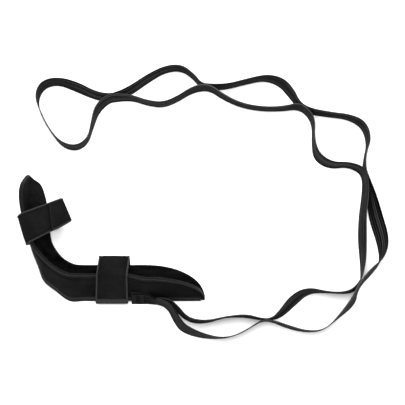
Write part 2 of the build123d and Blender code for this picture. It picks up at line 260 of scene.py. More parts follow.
def lining_material():
    """Stretched jersey lining: a knit with long pulled streaks, and painted light that makes it lighter
    towards the top of the upright."""
    n = Nodes("lining_jersey")
    where = n.object_coords()
    streaks = n.noise(n.stretched(where, (9.0, 60.0, 60.0)), 2.0, 5.0, 0.6)
    knit = n.noise(where, 1300.0, 2.0)
    mixed = n.maths("ADD", n.maths("MULTIPLY", streaks, 0.8), n.maths("MULTIPLY", knit, 0.2))
    split = n.add("ShaderNodeSeparateXYZ")
    n.link(where, split.inputs[0])
    # Painted light: the lining is made lighter the further it lies up the upright.
    above = n.maths("SUBTRACT", split.outputs[1], PAINTED_LIGHT_FROM_Y)
    lighter = n.maths("MULTIPLY", above, PAINTED_LIGHT_PER_METRE)
    mixed = n.maths("ADD", mixed, n.maths("MAXIMUM", lighter, 0.0))
    n.tinted(n.ramp(mixed, [(0.38, 0.0), (0.6, 0.45), (0.95, 1.0)]), grey(0.0002), grey(0.0075))
    n.bump(n.maths("ADD", streaks, n.maths("MULTIPLY", knit, 0.3)), 0.0009)
    return n.surface(0.8, 0.015)


def tape_material(name, dark, light, pitch, highlight_band=None):
    """Woven tape with fine cross ribs by length (UV v).  The last argument is the part of the way round
    the section (UV u) that gets a painted highlight, with the ribs and grain dropped to the dark colour
    elsewhere: its middle and half its width."""
    n = Nodes(name)
    split = n.add("ShaderNodeSeparateXYZ")
    n.link(n.uv(), split.inputs[0])
    along = n.maths("SINE", n.maths("MULTIPLY", split.outputs[1], 2 * math.pi / pitch))
    grain = n.noise(n.object_coords(), 900.0, 3.0)
    mixed = n.maths("ADD", n.maths("MULTIPLY", along, 0.22), grain)
    # Painted highlight: only this band round the section keeps the lighter colour.
    if highlight_band:
        off = n.maths("ABSOLUTE", n.maths("SUBTRACT", split.outputs[0], highlight_band[0]))
        painted_highlight = n.maths("SUBTRACT", 1.0, n.maths("DIVIDE", off, highlight_band[1]))
        mixed = n.maths("MULTIPLY", mixed, n.maths("MAXIMUM", painted_highlight, 0.0))
    n.tinted(n.ramp(mixed, [(0.25, 0.0), (0.8, 1.0)]), dark, light)
    n.bump(n.maths("ADD", n.maths("MULTIPLY", along, 0.5), grain), 0.0003)
    return n.surface(0.6, 0.1, 0.01)


TURN = 2 * math.pi
WEB_RIBS = 6
WEB_ENDS = 28
WEB_TWILLS = 14
PICK_PITCH = 0.0011
TWILL_PITCH = 0.0022


def webbing_material(name, light):
    """Ribbed nylon webbing, with a painted highlight along both edges.  UV u runs across its width, v
    along it in metres.
    """
    n = Nodes(name)
    split = n.add("ShaderNodeSeparateXYZ")
    n.link(n.uv(), split.inputs[0])
    across, along = split.outputs[0], split.outputs[1]
    ribs = n.maths("COSINE", n.maths("MULTIPLY", across, TURN * WEB_RIBS))
    fine = n.maths("COSINE", n.maths("MULTIPLY", across, TURN * WEB_ENDS))
    picks = n.maths("SINE", n.maths("MULTIPLY", along, TURN / PICK_PITCH))
    slant = n.maths("MULTIPLY", across, TURN * WEB_TWILLS)
    twill = n.maths("SINE", n.maths("ADD", n.maths("MULTIPLY", along, TURN / TWILL_PITCH), slant))
    streaks = n.noise(n.stretched(n.uv(), (11.0, 5.0, 1.0)), 1.0, 3.0, 0.7)
    height = n.maths("ADD", n.maths("MULTIPLY", ribs, 0.6), n.maths("MULTIPLY", fine, 0.2))
    height = n.maths("ADD", height, n.maths("MULTIPLY", picks, 0.1))
    height = n.maths("ADD", height, n.maths("MULTIPLY", twill, 0.2))
    # Painted highlight: the colour is lifted near both edges of the webbing.
    selvage = n.maths("MULTIPLY", n.maths("ABSOLUTE", n.maths("SUBTRACT", across, 0.5)), 2.0)
    edge = n.maths("MULTIPLY", n.maths("POWER", selvage, 14.0), 0.12)
    shade = n.maths("ADD", n.maths("MULTIPLY", height, 0.26), n.maths("MULTIPLY", streaks, 1.9))
    shade = n.maths("ADD", n.maths("SUBTRACT", shade, 0.5), edge)
    n.tinted(n.ramp(shade, [(0.32, 0.0), (0.58, 0.25), (0.9, 1.0)]), grey(0.0004), grey(light))
    n.bump(height, 0.0003)
    return n.surface(0.6, 0.012)


def pile_material():
    n = Nodes("loop_pile_fuzz")
    where = n.object_coords()
    loops = n.add("ShaderNodeTexVoronoi", Scale=1100.0)
    n.link(where, loops.inputs["Vector"])
    cloud = n.noise(where, 90.0, 3.0)
    n.tinted(n.ramp(n.maths("ADD", loops.outputs["Distance"], n.maths("MULTIPLY", cloud, 0.6)),
                    [(0.2, 0.0), (1.0, 1.0)]), grey(0.002), grey(0.01))
    n.bump(loops.outputs["Distance"], 0.0005)
    return n.surface(0.95, 0.05, 0.02)


def hook_material():
    n = Nodes("moulded_hooks")
    where = n.object_coords()
    hooks = n.add("ShaderNodeTexVoronoi", Scale=800.0, Randomness=0.15)
    n.link(where, hooks.inputs["Vector"])
    n.tinted(n.ramp(hooks.outputs["Distance"], [(0.1, 1.0), (0.6, 0.0)]), grey(0.002), grey(0.012))
    n.bump(n.maths("MULTIPLY", hooks.outputs["Distance"], -1.0), 0.0006)
    return n.surface(0.4, 0.15)


def thread_material():
    n = Nodes("bonded_thread")
    twist = n.noise(n.object_coords(), 2400.0, 2.0)
    n.tinted(n.ramp(twist, [(0.3, 0.0), (0.7, 1.0)]), grey(0.002), grey(0.012))
    n.bump(twist, 0.0002)
    return n.surface(0.5, 0.15)


def floor_material():
    n = Nodes("pale_floor")
    cloud = n.noise(n.object_coords(), 6.0, 2.0)
    n.tinted(cloud, grey(0.93), grey(0.95))
    return n.surface(0.9, 0.1)


# The last argument of each jersey lists its stitched grooves, which get painted shade.
COVER = knit_material("cover_jersey", grey(0.0014), grey(0.0068), 0.0004,
                      ((0.25, 0.1), (1.65, 0.1)))
STRAP = knit_material("strap_brushed", grey(0.0018), grey(0.0074), 0.0005,
                      ((0.1, 0.045), (0.3667, 0.045)))
LINING = lining_material()
# The rim tape's bright band on its outer top corner is a painted highlight.
BINDING = tape_material("rim_tape", grey(0.0008), grey(0.05), 0.0016, (0.40, 0.075))
EDGING = tape_material("strap_edge_tape", grey(0.005), grey(0.03), 0.0014)
LIP = tape_material("lip_tape", grey(0.008), grey(0.022), 0.0014)
SEAM = tape_material("seam_tape_weave", grey(0.0015), grey(0.006), 0.0018)
WEBBING = webbing_material("webbing_weave", 0.062)
# A darker copy of the webbing with painted shade, for the tails and anchor fold that lie in the shade
# of the keel.
PAINTED_SHADE_WEBBING = webbing_material("webbing_weave_painted_shade", 0.022)
PILE = pile_material()
HOOK = hook_material()
THREAD = thread_material()


# ---- meshes -------------------------------------------------------------------
def add_mesh(name, points, faces, material, uvs=None, sharp=40.0):
    """Links a mesh of millimetre points; uvs gives one (u, v) for each point."""
    mesh = bpy.data.meshes.new(name)
    placed = np.array(points, float) * MM
    placed[:, 2] = np.maximum(placed[:, 2], 0.0)
    mesh.from_pydata(placed.tolist(), [], faces)
    mesh.materials.append(material)
    if uvs is not None:
        layer = mesh.uv_layers.new(name="UVMap")
        for loop in mesh.loops:
            layer.data[loop.index].uv = uvs[loop.vertex_index]
    mesh.validate()
    mesh.shade_smooth()
    mesh.set_sharp_from_angle(angle=math.radians(sharp))
    piece = bpy.data.objects.new(name, mesh)
    bpy.context.scene.collection.objects.link(piece)
    return piece


def ring_grid(rings, close_path=False):
    """Faces that join rings of equal length into a closed skin, capped if it has ends."""
    count = len(rings[0])
    faces = []
    last = len(rings) if close_path else len(rings) - 1
    for i in range(last):
        a = i * count
        b = ((i + 1) % len(rings)) * count
        for j in range(count):
            k = (j + 1) % count
            faces.append((a + j, a + k, b + k, b + j))
    if not close_path:
        faces.append(tuple(range(count - 1, -1, -1)))
        faces.append(tuple(range((len(rings) - 1) * count, len(rings) * count)))
    return faces


def unit(v):
    v = np.asarray(v, float)
    size = np.linalg.norm(v, axis=-1, keepdims=True)
    return v / np.maximum(size, 1e-9)


def dots(a, b):
    return np.sum(a * b, axis=-1, keepdims=True)


def run_lengths(points):
    steps = np.linalg.norm(np.diff(points, axis=0), axis=1)
    return np.concatenate([[0.0], np.cumsum(steps)])


def hermite(knots, values, at):
    """Smooth curve through the values at the knots."""
    values = np.asarray(values, float)
    slopes = np.gradient(values, knots, axis=0)
    index = np.clip(np.searchsorted(knots, at, side="right") - 1, 0, len(knots) - 2)
    span = (knots[index + 1] - knots[index])[:, None]
    t = ((at - knots[index]) / span[:, 0])[:, None]
    a, b = values[index], values[index + 1]
    ma, mb = slopes[index] * span, slopes[index + 1] * span
    return (
        (2 * t**3 - 3 * t**2 + 1) * a
        + (t**3 - 2 * t**2 + t) * ma
        + (-2 * t**3 + 3 * t**2) * b
        + (t**3 - t**2) * mb
    )


def facing_out(piece):
    """Turns the faces of a closed mesh outwards."""
    shape = bmesh.new()
    shape.from_mesh(piece.data)
    bmesh.ops.recalc_face_normals(shape, faces=shape.faces)
    shape.to_mesh(piece.data)
    shape.free()
    return piece


# ---- pull strap ---------------------------------------------------------------
def nurbs_points(name, points, height):
    """Points along the smooth line that the route controls."""
    curve = bpy.data.curves.new(name, "CURVE")
    curve.dimensions = "3D"
    spline = curve.splines.new("NURBS")
    spline.points.add(len(points) - 1)
    for target, (x, y, lean) in zip(spline.points, points):
        target.co = (x, y, height, 1.0)
    spline.order_u = 3
    spline.use_endpoint_u = True
    spline.resolution_u = 8
    holder = bpy.data.objects.new(name, curve)
    mesh = bpy.data.meshes.new_from_object(holder)
    line = np.array([v.co for v in mesh.vertices], float)
    bpy.data.meshes.remove(mesh)
    bpy.data.objects.remove(holder)
    bpy.data.curves.remove(curve)
    return line


LEAN_WINDOW = 9
LOOK_AHEAD = 40


def leans_along(line, route):
    """Lean at every point of the line, from the leans at the route's points."""
    anchors = [0]
    for x, y, lean in route[1:-1]:
        start = anchors[-1]
        window = line[start:start + LOOK_AHEAD, :2]
        anchors.append(start + int(np.argmin(np.hypot(window[:, 0] - x, window[:, 1] - y))))
    anchors.append(len(line) - 1)
    leans = np.interp(np.arange(len(line)), anchors, [r[2] for r in route])
    kernel = np.ones(LEAN_WINDOW) / LEAN_WINDOW
    padded = np.pad(leans, LEAN_WINDOW // 2, mode="edge")
    return np.radians(np.convolve(padded, kernel, mode="valid"))


def web_section():
    """Cross-section of the webbing as (across, out) points, with a rolled selvage."""
    h, t = WEB_WIDTH / 2, WEB_THICK / 2
    face = [(-h + 0.35, t * 0.9), (-h + 1.4, t * 1.08), (-h + 2.6, t * 0.92), (-h * 0.5, t),
            (0, t), (h * 0.5, t), (h - 2.6, t * 0.92), (h - 1.4, t * 1.08), (h - 0.35, t * 0.9)]
    back = [(a, -b) for a, b in reversed(face)]
    return face + [(h, 0)] + back + [(-h, 0)]


def ribbon(name, line, leans, material):
    """Webbing along a line of metre points, standing on its edge with a lean."""
    section = web_section()
    centre = line / MM
    way = unit(np.gradient(centre, axis=0) * (1, 1, 0))
    side = unit(np.cross(UP, way))
    across = UP * np.cos(leans)[:, None] + side * np.sin(leans)[:, None]
    out = side * np.cos(leans)[:, None] - UP * np.sin(leans)[:, None]
    centre[:, 2] = WEB_WIDTH / 2 * np.cos(leans) + WEB_THICK / 2 * np.abs(np.sin(leans)) + 0.1
    length = run_lengths(centre) * MM
    points, uvs = [], []
    for c, a, o, v in zip(centre, across, out, length):
        for u, b in section:
            points.append(c + a * u + o * b)
            uvs.append(((u + WEB_WIDTH / 2) / WEB_WIDTH, v))
    rings = [section] * len(centre)
    piece = add_mesh(name, points, ring_grid(rings), material, uvs)
    return facing_out(piece), centre * MM


BOX_FACES = ((0, 1, 3, 2), (4, 6, 7, 5), (0, 4, 5, 1), (2, 3, 7, 6), (0, 2, 6, 4), (1, 5, 7, 3))
STITCH_STEP = 1.3
STITCH_LONG = 0.5
STITCH_THIN = 0.28
STITCH_HIGH = 0.14
BOX_ENDS = (-3.2, 3.2)
BOX_SIDES = (-9.6, 9.6)


def joint_piece(number, x, y, angle, lean):
    """Box stitch of one grip joint: thread rows on both outer faces and the pad between."""
    turn, tip = math.radians(angle), math.radians(lean)
    way = np.array((math.cos(turn), math.sin(turn), 0))
    side = np.cross(UP, way)
    across = UP * math.cos(tip) + side * math.sin(tip)
    out = side * math.cos(tip) - UP * math.sin(tip)
    centre = np.array((x, y, WEB_WIDTH / 2 * math.cos(tip) + 0.2))
    points, faces = [], []

    def block(middle, half_way, half_across, half_out):
        start = len(points)
        for i in (-1, 1):
            for j in (-1, 1):
                for k in (-1, 1):
                    points.append(middle + way * i * half_way + across * j * half_across
                                  + out * k * half_out)
        for face in BOX_FACES:
            faces.append(tuple(start + f for f in face))

    block(centre, 4.0, 9.5, 0.2)
    for face_side in (-1, 1):
        surface = centre + out * face_side * (1 + WEB_THICK / 2 + 0.05)
        for row in BOX_ENDS:
            for step in range(-7, 8):
                place = surface + way * row + across * step * STITCH_STEP
                block(place, STITCH_THIN, STITCH_LONG, STITCH_HIGH)
        for row in BOX_SIDES:
            for step in range(-2, 3):
                place = surface + across * row + way * step * STITCH_STEP
                block(place, STITCH_LONG, STITCH_THIN, STITCH_HIGH)
    piece = add_mesh(f"joint_stitch_{number}", points, faces, THREAD)
    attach(piece, "pull_strap")
    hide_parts(f"grip_joint_{number}")
    return piece


line = nurbs_points("route", ROUTE, WEB_WIDTH / 2 * MM)
leans = leans_along(line, ROUTE)
web, web_path = ribbon("pull_webbing", line, leans, WEBBING)
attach(web, "pull_strap")
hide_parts("pull_strap")
stitches = [joint_piece(i, *joint) for i, joint in enumerate(JOINTS, start=1)]


# ---- cradle -------------------------------------------------------------------
def sole_section(x):
    width = WALL_WIDTH
    if x > TOE_CURVE_X:
        width *= math.sqrt(max(1 - ((x - TOE_CURVE_X) / (TOE_X - TOE_CURVE_X)) ** 2, 0))
    share = min(max((x - V_TURN_X) / (TOE_CURVE_X - V_TURN_X), 0), 1)
    angle = V_ANGLE + (V_TOE_ANGLE - V_ANGLE) * share
    right = (x, KEEL_Y + width * math.cos(angle), KEEL_Z + width * math.sin(angle))
    return ((x, KEEL_Y, KEEL_Z), right, (x, KEEL_Y + width, KEEL_Z))


# Sections from the toe to the top of the upright: (seam, right rim, left rim).
SECTIONS = [sole_section(x) for x in (137.6, 136, 132, 125, 114, 100, 84, 68, 51, 24, 0, -24, -43)]
SECTIONS += [
    ((-63, -88, 2.5), (-59, -65, 49), (-57, -36, 2.5)),
    ((-84, -74, 7), (-75, -59, 50), (-70, -31, 2.5)),
    ((-102.7, -58.5, 12.5), (-95.1, -44, 53), (-83, -21, 2.5)),
    ((-109, -42, 22), (-103.5, -35.5, 57), (-94, -7, 3.5)),
    ((-118, -19, 35), (-114, -23, 64), (-101, 12, 6.0)),
    ((-122, -3, 40), (-120, -5, 71), (-103.5, 25, 6.5)),
    ((-126, 19, 43), (-127.4, 19, 81), (-106, 39, 6.5)),
    ((-131, 47, 43), (-133, 49, 83), (-110, 57, 6.5)),
    ((-134, 69, 43), (-133, 67, 78), (-115, 76, 8)),
    ((-133, 85, 43), (-131.5, 81, 66), (-120.5, 90, 16)),
    ((-128.8, 93, 43), (-129.3, 90, 57), (-124.5, 94.2, 29)),
    ((-128.2, 95.8, 42.5), (-128.8, 94.6, 47.5), (-127.2, 95.8, 38)),
]
STATIONS = 190
# Narrower than this between its rims, the wall thins towards its closed ends.
FULL_THICK_WIDTH = 26.0
LEAST_THICK = 0.12
LEAST_MITRE = 0.45


class Cradle:
    """The cradle's seam and rims as smooth curves, with the directions at each station."""

    def __init__(self):
        seam, right, left = (np.array([s[i] for s in SECTIONS], float) for i in range(3))
        middle = (seam + right + left) / 3
        knots = run_lengths(middle)
        at = np.linspace(0, knots[-1], STATIONS)
        self.s = at
        self.seam = hermite(knots, seam, at)
        self.rim = {"right": hermite(knots, right, at), "left": hermite(knots, left, at)}
        self.along = {side: unit(self.rim[side] - self.seam) for side in ("right", "left")}
        self.inward = {}
        for side, other in (("right", "left"), ("left", "right")):
            e, o = self.along[side], self.along[other]
            self.inward[side] = unit(o - e * dots(e, o))
        bisector = unit(self.along["right"] + self.along["left"])
        self.mitre = bisector / np.maximum(dots(bisector, self.inward["right"]), LEAST_MITRE)
        width = np.linalg.norm(self.rim["left"] - self.rim["right"], axis=1)
        self.thick = WALL * np.clip(width / FULL_THICK_WIDTH, LEAST_THICK, 1.0)[:, None]

    def point(self, side, share, depth):
        """Points at a share of the wall from the seam, and a depth of 0 outside to 1 inside."""
        seam = self.seam + self.mitre * self.thick * depth
        rim = self.rim[side] + self.inward[side] * self.thick * depth
        return seam + (rim - seam) * share


cradle = Cradle()
# The forefoot strap holds the right wall flat this far each side of its middle.
FLAT_HALF_WIDTH = 32.0
BOW = 4.0
RIM_STITCH_INSET = 5.2


def envelope(value, low, high, soft):
    """1 between low and high, falling to 0 over `soft` outside them."""
    return np.clip((value - low) / soft + 1, 0, 1) * np.clip((high - value) / soft + 1, 0, 1)


def cover_relief(side, share):
    """How far the cover stands out (mm): bow of the wall, groove of the rim stitching."""
    from_strap = np.abs(cradle.seam[:, 0])
    bow = (side == "right") * (1 - envelope(from_strap, -1, FLAT_HALF_WIDTH, 14))
    relief = bow * BOW * share * (1 - share)
    span = np.linalg.norm(cradle.rim[side] - cradle.seam, axis=1)
    from_rim = (1 - share) * span
    groove = -0.7 * np.exp(-((from_rim - RIM_STITCH_INSET) / 0.75) ** 2)
    swell = 0.35 * np.exp(-((from_rim - 8.0) / 1.6) ** 2)
    waves = np.array([
        noise.noise(Vector((p[0] * 0.045, p[1] * 0.045, p[2] * 0.045 + 3 * (side == "left"))))
        for p in cradle.point(side, share, 0)
    ])
    return relief + groove + swell + 0.45 * waves


def lining_relief(side, share):
    """How far the lining stands in (mm): pulled folds at the toe, wrinkles at the heel."""
    p = cradle.point(side, share, 1)
    x = cradle.seam[:, 0]
    s = cradle.s
    toe = envelope(x, 28, 118, 16)
    heel = envelope(np.hypot(cradle.seam[:, 0] + 95, cradle.seam[:, 1] + 60), -1, 42, 22)
    drift = np.array([noise.noise(Vector((q[0] * 0.03, q[1] * 0.03, 1.7))) for q in p])
    folds = toe * 0.55 * np.sin(share * 22 + drift * 5)
    wrinkles = heel * 0.9 * np.sin(s * 0.52 + share * 4 + drift * 7) * (0.35 + 0.65 * share)
    small = 0.35 * np.array([noise.noise(Vector(q * 0.09)) for q in p])
    return folds + wrinkles + small


SHARES = [1.0, 0.975, 0.95, 0.93, 0.915, 0.9, 0.885, 0.87, 0.85, 0.82, 0.77, 0.7, 0.6, 0.5,
          0.4, 0.3, 0.22, 0.15, 0.08, 0.0]


def cradle_skin(name, low, high, outside, inside, material, replaced):
    """One layer of the cradle: both walls as one closed skin between two depths."""
    loop = [("right", f, low) for f in SHARES]
    loop += [("left", f, low) for f in SHARES[-2::-1]]
    loop += [("left", f, high) for f in SHARES]
    loop += [("right", f, high) for f in SHARES[-2::-1]]
    columns, across = [], []
    travelled = 0.0
    for side, share, depth in loop:
        p = cradle.point(side, share, depth)
        if depth == low and outside:
            p = p - cradle.inward[side] * outside(side, share)[:, None] * min(1, share * 8)
        if depth == high and inside:
            p = p + cradle.inward[side] * inside(side, share)[:, None] * min(1, share * 6)
        columns.append(p)
        across.append(travelled)
        travelled += 0.05
    rings = np.array(columns).transpose(1, 0, 2)
    rings[:, :, 2] = np.maximum(rings[:, :, 2], 0.4)
    points = rings.reshape(-1, 3)
    uvs = [(u, s * MM) for s in cradle.s for u in across]
    piece = facing_out(add_mesh(name, points, ring_grid(rings), material, uvs, sharp=55))
    bend(piece)
    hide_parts(*replaced)


def bend(piece):
    """Bakes the piece's placement into its mesh."""
    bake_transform(piece)


def layer_nodes(layer):
    return [f"{part}_{side}_{layer}" for part in ("sole", "upright") for side in ("left", "right")]


cradle_skin("cradle_cover", 0.0, COVER_SHARE, cover_relief, None, COVER,
            layer_nodes("cover") + layer_nodes("foam")
            + ["ankle_flex_left", "ankle_flex_right", "toe_nose"])
cradle_skin("cradle_lining", COVER_SHARE, 1.0, None, lining_relief, LINING,
            layer_nodes("lining"))


def oval(count, a, b, power=2.6):
    """Rounded flat section as (a, b) pairs, starting on the hidden side."""
    result = []
    for i in range(count):
        t = math.pi + 2 * math.pi * i / count
        c, s = math.cos(t), math.sin(t)
        result.append((math.copysign(abs(c) ** (2 / power), c) * a,
                       math.copysign(abs(s) ** (2 / power), s) * b))
    return result


def swept(name, centres, firsts, seconds, section, material, closed=False, sizes=None, sharp=40):
    """A section swept along centres; firsts and seconds are its axes at each of them."""
    length = run_lengths(np.array(centres)) * MM
    points, uvs = [], []
    sizes = np.ones(len(centres)) if sizes is None else sizes
    for c, a, b, v, k in zip(centres, firsts, seconds, length, sizes):
        for i, (p, q) in enumerate(section):
            points.append(np.array(c) + np.array(a) * p * k + np.array(b) * q * k)
            uvs.append((i / len(section), v))
    faces = ring_grid([section] * len(centres), close_path=closed)
    return facing_out(add_mesh(name, points, faces, material, uvs, sharp))


def rim_binding():
    """Bound edge: up the right rim, round the top, down the left rim, round the toe."""
    centres, outs, ins = [], [], []
    for side in ("right", "left"):
        mid = cradle.rim[side] + cradle.inward[side] * cradle.thick / 2
        c = mid + cradle.along[side] * 0.3
        order = slice(None) if side == "right" else slice(None, None, -1)
        centres += list(c[order])
        outs += list(cradle.along[side][order])
        ins += list(cradle.inward[side][order])
    thick = np.concatenate([cradle.thick[:, 0], cradle.thick[::-1, 0]]) / WALL
    sizes = np.clip(thick, 0.45, 1)
    piece = swept("rim_binding", centres, outs, ins, oval(24, 1.8, WALL / 2 + 0.6), BINDING,
                  closed=True, sizes=sizes)
    bend(piece)
    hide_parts(*layer_nodes("binding"))


def seam_tape():
    """Tape over the outer seam, with a piped ridge."""
    keep = slice(5, STATIONS - 6)
    seam = cradle.seam[keep]
    bisector = unit(cradle.mitre[keep])
    rings = []
    for side, order in (("right", 1), ("left", -1)):
        e, out = cradle.along[side][keep], -cradle.inward[side][keep]
        edge = [
            seam + e * 8.0 + out * 0.1, seam + e * 7.8 + out * 1.0, seam + e * 5.0 + out * 1.25,
            seam + e * 3.2 + out * 0.85, seam + e * 2.0 + out * 1.1, seam + e * 1.0 + out * 1.5,
        ]
        rings += edge[::order]
        if side == "right":
            rings.append(seam - bisector * 1.9)
    rings.append(seam + bisector * 0.8)
    rings = np.array(rings).transpose(1, 0, 2)
    rings[:, :, 2] = np.maximum(rings[:, :, 2], 0.3)
    v = cradle.s[keep] * MM
    uvs = [(j / rings.shape[1], k) for k in v for j in range(rings.shape[1])]
    piece = facing_out(add_mesh("seam_tape", rings.reshape(-1, 3), ring_grid(rings), SEAM, uvs, 50))
    bend(piece)
    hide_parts("keel_tape", "heel_tape", "back_tape")


def thread_run(name, starts, ends, normals, body, width=0.55, height=0.3, material=THREAD):
    """Separate stitches from starts to ends, lying on a surface."""
    points, faces = [], []
    for a, b, n in zip(starts, ends, normals):
        way = unit(np.array(b) - np.array(a))
        side = np.cross(way, n)
        base = len(points)
        for end in (np.array(a), np.array(b)):
            points.extend([end - side * width / 2 - n * 0.2, end + side * width / 2 - n * 0.2,
                           end + side * width / 4 + n * height, end - side * width / 4 + n * height])
        faces += [tuple(base + i for i in f) for f in
                  ((0, 1, 2, 3), (4, 7, 6, 5), (0, 4, 5, 1), (1, 5, 6, 2), (2, 6, 7, 3), (3, 7, 4, 0))]
    piece = add_mesh(name, points, faces, material)
    if body:
        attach(piece, body)
    return piece


def stitched_line(curve, normals, pitch=3.6, gap=1.0):
    """Stitch starts, ends and normals along a curve of points."""
    at = run_lengths(curve)
    starts, ends, ns = [], [], []
    position = 1.0
    while position + pitch - gap < at[-1]:
        pair = []
        for where in (position, position + pitch - gap):
            pair.append(np.array([np.interp(where, at, curve[:, i]) for i in range(3)]))
        normal = unit(np.array([np.interp(position, at, normals[:, i]) for i in range(3)]))
        starts.append(pair[0])
        ends.append(pair[1])
        ns.append(normal)
        position += pitch
    return starts, ends, ns


def rim_stitches():
    starts, ends, ns = [], [], []
    for side in ("right", "left"):
        keep = slice(8, STATIONS - 10)
        e, out = cradle.along[side], -cradle.inward[side]
        curve = (cradle.rim[side] - e * RIM_STITCH_INSET - out * 0.45)[keep]
        a, b, n = stitched_line(curve, out[keep])
        starts, ends, ns = starts + a, ends + b, ns + n
    piece = thread_run("rim_stitches", starts, ends, ns, None)
    bend(piece)


rim_binding()
seam_tape()
rim_stitches()


# ---- straps -------------------------------------------------------------------
def soften(points, reach, steps=7):
    """Rounds each corner of a polyline by its reach and fills its runs with points."""
    points = [np.array(p, float) for p in points]
    reaches = [reach] * len(points) if isinstance(reach, float) else reach
    result = [points[0]]
    for before, corner, after, most in zip(points, points[1:], points[2:], reaches):
        r = min(most, 0.45 * np.linalg.norm(corner - before), 0.45 * np.linalg.norm(after - corner))
        a = corner + unit(before - corner) * r
        b = corner + unit(after - corner) * r
        result += fill(result[-1], a)
        for i in range(1, steps + 1):
            t = i / steps
            result.append(a * (1 - t) ** 2 + corner * 2 * t * (1 - t) + b * t * t)
    result += fill(result[-1], points[-1])
    return np.array(result)


def fill(a, b, count=8):
    """Points that divide the run from a to b, without a."""
    return [a + (b - a) * i / count for i in range(1, count + 1)]


# Share of a strap's width at which its edge stitching lies.
EDGE_ROW = 0.09


class Strap:
    """A flat padded strap along two edge curves, `lift` above them; sign turns its face."""

    def __init__(self, tops, bottoms, reach, sign, lift=0.0, thick=STRAP_THICK):
        self.tops = soften(tops, reach)
        self.bottoms = soften(bottoms, reach)
        middle = (self.tops + self.bottoms) / 2
        way = unit(np.gradient(middle, axis=0))
        across = unit(self.bottoms - self.tops)
        self.normal = unit(np.cross(way, across)) * sign
        self.across = across
        self.way = way
        self.lift = lift
        self.thick = thick
        self.v = run_lengths(middle) * MM

    def at(self, share, height):
        return self.tops + (self.bottoms - self.tops) * share + self.normal * (self.lift + height)

    def cloth(self, name, material, body, replaced, slot):
        shares = [0.01, 0.04, 0.07, 0.09, 0.11, 0.16, 0.3, 0.5, 0.7, 0.84, 0.89, 0.91, 0.93, 0.96, 0.99]
        columns = []
        for share in shares:
            edge = min(share, 1 - share)
            pad = self.thick - 0.7 * math.exp(-((edge - EDGE_ROW) / 0.018) ** 2)
            pad += 0.25 * math.sin(math.pi * share)
            p = self.at(share, pad)
            ripple = [0.22 * noise.noise(Vector(q * 0.07)) + 0.1 * noise.noise(Vector(q * 0.21))
                      for q in p]
            columns.append(p + self.normal * np.array(ripple)[:, None])
        for share in reversed(shares):
            columns.append(self.at(share, 0.0))
        rings = np.array(columns).transpose(1, 0, 2)
        rings[:, :, 2] = np.maximum(rings[:, :, 2], 0.05)
        uvs = [(j / rings.shape[1], v) for v in self.v for j in range(rings.shape[1])]
        piece = facing_out(add_mesh(name, rings.reshape(-1, 3), ring_grid(rings), material, uvs, 50))
        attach(piece, body)
        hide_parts(*replaced)

    def edging(self, name, body, replaced):
        for share, tag in ((0.0, "a"), (1.0, "b")):
            inset = self.across * (1.0 if share == 0 else -1.0)
            centre = self.at(share, self.thick / 2) + inset
            centre[:, 2] = np.maximum(centre[:, 2], self.thick / 2 + 0.05)
            piece = swept(f"{name}_{tag}", centre, self.across, self.normal,
                          oval(12, 1.35, self.thick / 2 + 0.35), EDGING)
            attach(piece, body)
        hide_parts(*replaced)

    def end_binding(self, name, body, index, material=EDGING):
        """Bound end of the strap, at its first (0) or last (-1) station."""
        shares = np.linspace(0.02, 0.98, 24)
        centres = [self.at(s, self.thick / 2)[index] for s in shares]
        firsts = [self.way[index] * (1 if index else -1)] * len(shares)
        piece = swept(name, centres, firsts, [self.normal[index]] * len(shares),
                      oval(12, 1.2, self.thick / 2 + 0.3), material)
        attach(piece, body)

    def edge_stitches(self, name, body):
        starts, ends, ns = [], [], []
        for share in (EDGE_ROW, 1 - EDGE_ROW):
            curve = self.at(share, self.thick - 0.25)
            a, b, n = stitched_line(curve, self.normal, 3.0, 0.9)
            starts, ends, ns = starts + a, ends + b, ns + n
        thread_run(name, starts, ends, ns, body)

    def cross_stitches(self, name, body, positions):
        """Rows of stitches across the strap at shares of its length."""
        starts, ends, ns = [], [], []
        for position in positions:
            i = int(round(position * (len(self.tops) - 1)))
            row = [self.at(s, self.thick - 0.05)[i] for s in np.linspace(0.1, 0.9, 14)]
            normals = np.repeat(self.normal[i][None], len(row), 0)
            a, b, n = stitched_line(np.array(row), normals, 2.8, 0.8)
            starts, ends, ns = starts + a, ends + b, ns + n
        thread_run(name, starts, ends, ns, body)


def right_wall(along, out):
    c, s = math.cos(V_ANGLE), math.sin(V_ANGLE)
    return (KEEL_Y + along * c - out * s, KEEL_Z + along * s + out * c)


def forefoot(points, reach, lift=0.0):
    """Strap across the sole through points given as (y, z, heel edge x, toe edge x)."""
    tops = [(toe, y, z) for y, z, heel, toe in points]
    bottoms = [(heel, y, z) for y, z, heel, toe in points]
    return Strap(tops, bottoms, reach, 1, lift)


forefoot_tab = forefoot([
    (-92.6, 5.0, -24, 24), (*right_wall(8, 2.2), -23.5, 23.6),
    (*right_wall(56, 2.2), -18.8, 25.6), (-35.5, 42.0, -17.6, 27.2), (-33.4, 39.6, -17.8, 27),
], [1.5, 5.0, 3.0])
forefoot_tab.cloth("forefoot_tab_cloth", STRAP, "forefoot_tab", ["forefoot_tab"], "strap_fabric")
forefoot_tab.edging("forefoot_tab_edge", "forefoot_tab", ["forefoot_tab_edging"])
forefoot_tab.edge_stitches("forefoot_tab_stitches", "forefoot_tab")
forefoot_tab.end_binding("forefoot_tab_end", "forefoot_tab", 0)
forefoot_tab.cross_stitches("forefoot_tab_hem", "forefoot_tab", (0.24,))


